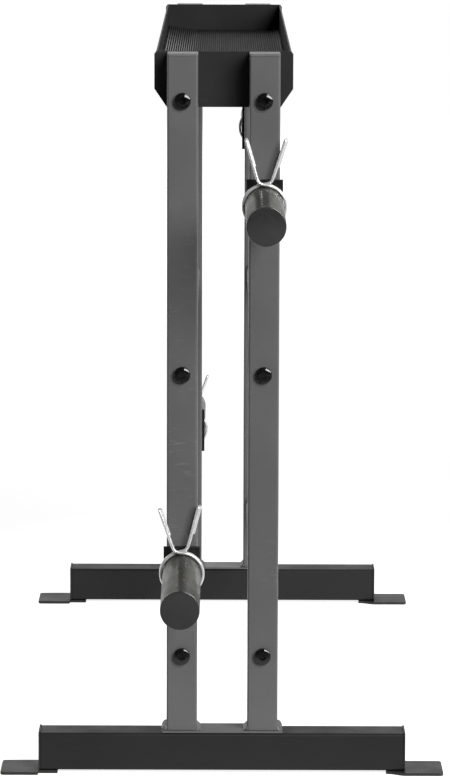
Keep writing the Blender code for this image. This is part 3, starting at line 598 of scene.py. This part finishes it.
def cap_mesh(insert, radius, depth):
    """End cap with a slightly domed face at y=0 and a hollow insert."""
    flange = CAP_CROWN + CAP_FLANGE
    face = radius - CAP_EDGE
    profile = [(face * step / ARC_STEPS, CAP_CROWN * (step / ARC_STEPS) ** 2) for step in range(ARC_STEPS)]
    profile += arc((face, CAP_CROWN + CAP_EDGE), CAP_EDGE, -90, 0)
    profile += arc((radius - CAP_BACK_EDGE, flange - CAP_BACK_EDGE), CAP_BACK_EDGE, 0, 90, SMALL_ARC_STEPS)
    profile += [
        (insert, flange), (insert, depth - POST_EDGE), (insert - POST_EDGE, depth),
        (insert - CAP_WALL, depth), (insert - CAP_WALL, flange), (0, flange),
    ]
    return turned("cap", profile, ROUND_STEPS)


def make_posts():
    outer, length = round_size("front_high_post")
    inner = outer - POST_WALL
    post = post_mesh(inner, outer, length)
    cap = cap_mesh(inner - GAP, *round_size("front_high_post_cap"))
    for end in ENDS:
        for name in POSTS:
            for kind, mesh in (("post", post), ("post_cap", cap)):
                node = f"{end}_{name}_{kind}"
                finished(node, mesh, on_side(node, end))


def rail_mesh(outer, length):
    """Tube from y=0 on, closed at both ends by thick bored plugs."""
    inner = outer - RAIL_WALL
    bore = RAIL_BORE / 2
    profile = [(bore, 0)]
    profile += arc((outer - RAIL_EDGE, RAIL_EDGE), RAIL_EDGE, -90, 0)
    profile += arc((outer - RAIL_EDGE, length - RAIL_EDGE), RAIL_EDGE, 0, 90)
    profile += [
        (bore, length), (bore, length - RAIL_PLUG), (inner, length - RAIL_PLUG),
        (inner, RAIL_PLUG), (bore, RAIL_PLUG),
    ]
    return turned("rail", profile, ROUND_STEPS, closed=True)


def make_rails():
    mesh = rail_mesh(*round_size("left_mid_rail"))
    for side in SIDES:
        for level in ("mid", "low"):
            node = f"{side}_{level}_rail"
            finished(node, mesh, on_side(node, "front"))


# spring clips

def bend_between(start, start_way, end, end_way, length):
    """Points of a smooth bend between two places, without the two end points."""
    points = []
    first = start + start_way * length
    last = end - end_way * length
    for step in range(1, BEND_STEPS):
        t = step / BEND_STEPS
        points.append(
            start * (1 - t) ** 3 + first * 3 * t * (1 - t) ** 2 + last * 3 * t ** 2 * (1 - t) + end * t ** 3
        )
    return points


def clip_arm(side, depth, hook_turn):
    """Middle line of one handle, up from its foot, round the hook and down again, and its way up."""
    up = Vector((side * math.sin(CLIP_ARM_LEAN), 0, math.cos(CLIP_ARM_LEAN)))
    out = Vector((side * math.cos(CLIP_ARM_LEAN), 0, -math.sin(CLIP_ARM_LEAN)))
    back = Vector((0, 1, 0))
    across = out * math.cos(hook_turn) + back * math.sin(hook_turn)
    foot = Vector((side * CLIP_ARM_FOOT, depth, CLIP_ARM_START))
    bend = CLIP_HOOK_SPREAD / 2
    crown = foot + up * ((CLIP_ARM_TOP - CLIP_ARM_START) / math.cos(CLIP_ARM_LEAN) - bend)
    points = [foot, (foot + crown) / 2, crown]
    for step in range(1, BEND_STEPS):
        angle = math.radians(180) * step / BEND_STEPS
        points.append(crown + across * bend * (1 - math.cos(angle)) + up * bend * math.sin(angle))
    tail = crown + across * CLIP_HOOK_SPREAD
    points += [tail, tail - up * CLIP_HOOK_LENGTH]
    return points, up


def clip_path():
    """Middle line of the clip's wire. Its front turn starts at y=0 and its coil is round Y."""
    start_angle = math.radians(90) - CLIP_TOP_GAP
    sweep = math.radians(360) * CLIP_TURNS - 2 * CLIP_TOP_GAP
    depth = CLIP_PITCH * CLIP_TURNS
    steps = COIL_STEPS * CLIP_TURNS
    coil = []
    for step in range(steps + 1):
        angle = start_angle - sweep * step / steps
        place = (CLIP_RADIUS * math.cos(angle), depth * step / steps, CLIP_RADIUS * math.sin(angle))
        coil.append(Vector(place))
    left, left_up = clip_arm(-1, 0, CLIP_LEFT_HOOK_TURN)
    right, right_up = clip_arm(1, depth, CLIP_RIGHT_HOOK_TURN)
    leave = Vector((-math.sin(start_angle), 0, math.cos(start_angle)))
    arrive = Vector((math.sin(start_angle), 0, math.cos(start_angle)))
    left_bend = bend_between(coil[0], leave, left[0], left_up, CLIP_ARM_FOOT)
    right_bend = bend_between(coil[-1], arrive, right[0], right_up, CLIP_ARM_FOOT)
    return left[::-1] + left_bend[::-1] + coil + right_bend + right


def clip_mesh():
    """The clip's one round wire with flat ends."""
    curve = bpy.data.curves.new("clip", "CURVE")
    curve.dimensions = "3D"
    curve.bevel_depth = CLIP_WIRE / 2
    curve.bevel_resolution = WIRE_STEPS
    curve.use_fill_caps = True
    points = clip_path()
    spline = curve.splines.new("POLY")
    spline.points.add(len(points) - 1)
    for knot, point in zip(spline.points, points):
        knot.co = (*point, 1)
    mesh = taken_from(add("clip", curve))
    shade_by_angle(mesh, CLIP_HARD_ANGLE)
    return mesh


def make_clips():
    to_front_turn = GAP + CLIP_TO_BRACKET + CLIP_WIRE / 2 + CLIP_PITCH * CLIP_TURNS
    mesh = clip_mesh()
    for end in ENDS:
        for name, turn in CLIP_TURN_OF.items():
            place = on_side(f"{end}_{name}_post_bracket", end) @ at(0, -to_front_turn, 0)
            finished(f"{end}_{name}_clip", mesh, place @ Matrix.Rotation(turn, 4, "Y"))


# welds

def bead_mesh(leg, hollow):
    """A rippled weld bead along Y in the corner at x=0, z=0, reaching out to +X and up to +Z."""
    shape = bmesh.new()
    rows = []
    for step in range(WELD_STEPS + 1):
        share = step / WELD_STEPS
        y = (share - 0.5) * WELD_LENGTH
        phase = (share * WELD_LENGTH / WELD_RIPPLE_PITCH) % 1.0
        swell = 1.0 - WELD_RIPPLE * phase + WELD_WAVER * math.sin(share * WELD_WAVER_SWEEP)
        swell *= min(1.0, WELD_END + WELD_END_SLOPE * min(share, 1.0 - share))
        row = []
        for arc_step in range(WELD_ARC_STEPS + 1):
            angle = math.radians(90) * arc_step / WELD_ARC_STEPS
            out = leg * swell * max(math.cos(angle), 0) ** hollow
            lag = WELD_RIPPLE_LAG * math.sin(2 * angle)
            row.append(shape.verts.new((out, y + lag, leg * swell * math.sin(angle) ** hollow)))
        row.append(shape.verts.new((0, y, 0)))
        rows.append(row)
    for first, second in zip(rows, rows[1:]):
        for i in range(len(first)):
            after = (i + 1) % len(first)
            shape.faces.new((first[i], first[after], second[after], second[i]))
    shape.faces.new(rows[0])
    shape.faces.new(rows[-1][::-1])
    mesh = mesh_from(shape, "bead")
    shade_by_angle(mesh, WELD_HARD_ANGLE)
    return mesh


def make_welds():
    outer = bead_mesh(WELD_OUTER_LEG, WELD_OUTER_HOLLOW)
    inner = bead_mesh(WELD_INNER_LEG, WELD_INNER_HOLLOW)
    for end in ENDS:
        for side, sign in SIDES.items():
            node = f"{end}_{side}_upright"
            low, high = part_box(f"{node}_plug")
            middle = (low + high) / 2
            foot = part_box(node)[0].z
            for name, way, mesh in (("outer", sign, outer), ("inner", -sign, inner)):
                place = at(middle.x + way * UPRIGHT_SIDE / 2, middle.y, foot)
                turn = 0 if way == 1 else math.pi
                piece(f"{node}_{name}_weld", mesh, place @ Matrix.Rotation(turn, 4, "Z"), node)


# tubes, plates, plugs, brackets, tray and mat

def dress_solids():
    """The plain solids get softened edges, apart from the mat, whose ribs are kept as they are."""
    for end in ENDS:
        softened(f"{end}_base_tube")
        softened(f"{end}_foot_plate")
        softened(f"{end}_tray_end")
        for side in SIDES:
            softened(f"{end}_{side}_floor_plate", PLATE_EDGE)
            softened(f"{end}_{side}_base_plug")
            softened(f"{end}_{side}_upright")
            softened(f"{end}_{side}_upright_plug")
        for post in POSTS:
            softened(f"{end}_{post}_post_bracket")
    softened("tray_channel")
    frame["nodes"]["tray_mat"].material_slots[0].material = LOOKS["mat"]


# studio

class Studio(Wiring):
    """A floor material or a world that looks different to different rays."""

    def __init__(self, tree, output):
        tree.nodes.clear()
        super().__init__(tree)
        self.output = tree.nodes.new(output)
        self.ray = tree.nodes.new("ShaderNodeLightPath").outputs

    def larger(self, first, second):
        return self.math("MAXIMUM", first, second)

    def times(self, first, second):
        return self.math("MULTIPLY", first, second)

    def seen(self, mirrored):
        """1 for what the camera sees straight or through glass, and the given share for mirror rays."""
        straight = self.larger(self.ray["Is Camera Ray"], self.ray["Is Transmission Ray"])
        return self.larger(straight, self.times(self.ray["Is Glossy Ray"], mirrored))

    def surface(self, shader):
        """Makes a shader node what the tree gives."""
        self.tree.links.new(shader.outputs[0], self.output.inputs["Surface"])


def make_room():
    """White surroundings for camera and mirror rays, dimmer towards the dark side of the studio."""
    world = bpy.data.worlds.new("studio")
    world.use_nodes = True
    bpy.context.scene.world = world
    room = Studio(world.node_tree, "ShaderNodeOutputWorld")
    aside, forward, up = room.parts(room.node("ShaderNodeTexCoord", {}).outputs["Generated"])
    behind = room.rising(forward, (ROOM_DARK_SIDE, 1.0), ROOM_DARK_WAYS)
    low = room.rising(up, (1.0, 0.0), ROOM_LOW_WAYS)
    beside = room.times(room.rising(room.math("ABSOLUTE", aside), (0.0, 1.0), ROOM_SIDE_WAYS), low)
    strength = room.seen(room.larger(behind, beside))
    dull_rays = room.larger(room.ray["Is Diffuse Ray"], room.ray["Is Shadow Ray"])
    strength = room.larger(strength, room.times(dull_rays, ROOM_LIGHT))
    room.surface(room.node("ShaderNodeBackground", {"Strength": strength}))


def make_floor():
    """A very large pale floor that looks white to the camera and still takes the rack's shadow."""
    shape = bmesh.new()
    bmesh.ops.create_grid(shape, x_segments=FLOOR_CELLS, y_segments=FLOOR_CELLS, size=FLOOR_SIZE / 2)
    made = add("floor", mesh_from(shape, "floor"))
    material = bpy.data.materials.new("pale_floor")
    material.use_nodes = True
    floor = Studio(material.node_tree, "ShaderNodeOutputMaterial")
    place = floor.node("ShaderNodeNewGeometry", {}).outputs["Position"]
    aside, forward, _ = floor.parts(place)
    behind = floor.rising(forward, (0.0, 1.0), FLOOR_DARK_REACH)
    wedge = floor.math("ADD", floor.math("ABSOLUTE", aside), floor.times(forward, FLOOR_SIDE_SLOPE))
    beside = floor.rising(wedge, (0.0, 1.0), FLOOR_SIDE_REACH)
    share = floor.seen(floor.larger(behind, beside))
    strength = floor.times(share, floor.rising(forward, FLOOR_GLOW, FLOOR_GLOW_REACH))
    away = floor.node("ShaderNodeVectorMath", {0: place}, operation="LENGTH").outputs[1]
    grey = floor.rising(away, FLOOR_GREYS, FLOOR_GREY_REACH)
    matte = floor.node("ShaderNodeBsdfDiffuse", {"Color": grey})
    glow = floor.node("ShaderNodeEmission", {"Strength": strength})
    floor.surface(floor.node("ShaderNodeAddShader", {0: matte.outputs[0], 1: glow.outputs[0]}))
    made.data.materials.append(material)


def make_lamp(name, bearing, height, size, tilt, watts):
    """A soft box that looks at the rack, tilted down to its right by some degrees."""
    bearing = math.radians(bearing)
    height = math.radians(height)
    data = bpy.data.lights.new(name, "AREA")
    data.shape = "RECTANGLE"
    data.size, data.size_y = size
    data.energy = watts
    lamp = add(name, data)
    way = Vector((
        math.sin(bearing) * math.cos(height), -math.cos(bearing) * math.cos(height), math.sin(height)
    ))
    lamp.location = LAMP_AIM + way * LAMP_DISTANCE
    turn = way.to_track_quat("Z", "Y").to_matrix() @ Matrix.Rotation(-math.radians(tilt), 3, "Z")
    lamp.rotation_euler = turn.to_euler()
    lamp.visible_camera = False
    return lamp


def make_camera():
    data = bpy.data.cameras.new("camera")
    data.lens = CAMERA_LENS
    data.sensor_width = CAMERA_SENSOR
    data.clip_end = CAMERA_SIGHT
    camera = add("camera", data)
    turn = Matrix.Rotation(-CAMERA_TURN, 4, "Z") @ Matrix.Rotation(math.pi / 2 - CAMERA_PITCH, 4, "X")
    camera.matrix_world = at(*CAMERA_PLACE) @ turn @ Matrix.Rotation(-CAMERA_ROLL, 4, "Z")
    bpy.context.scene.camera = camera


make_camera()
make_bolts()
make_posts()
make_rails()
make_clips()
make_welds()
dress_solids()
make_room()
make_floor()
for lamp_settings in LAMPS:
    make_lamp(*lamp_settings)
make_lamp(*FILL_LAMP).visible_glossy = False
bpy.context.scene.view_settings.view_transform = "Standard"
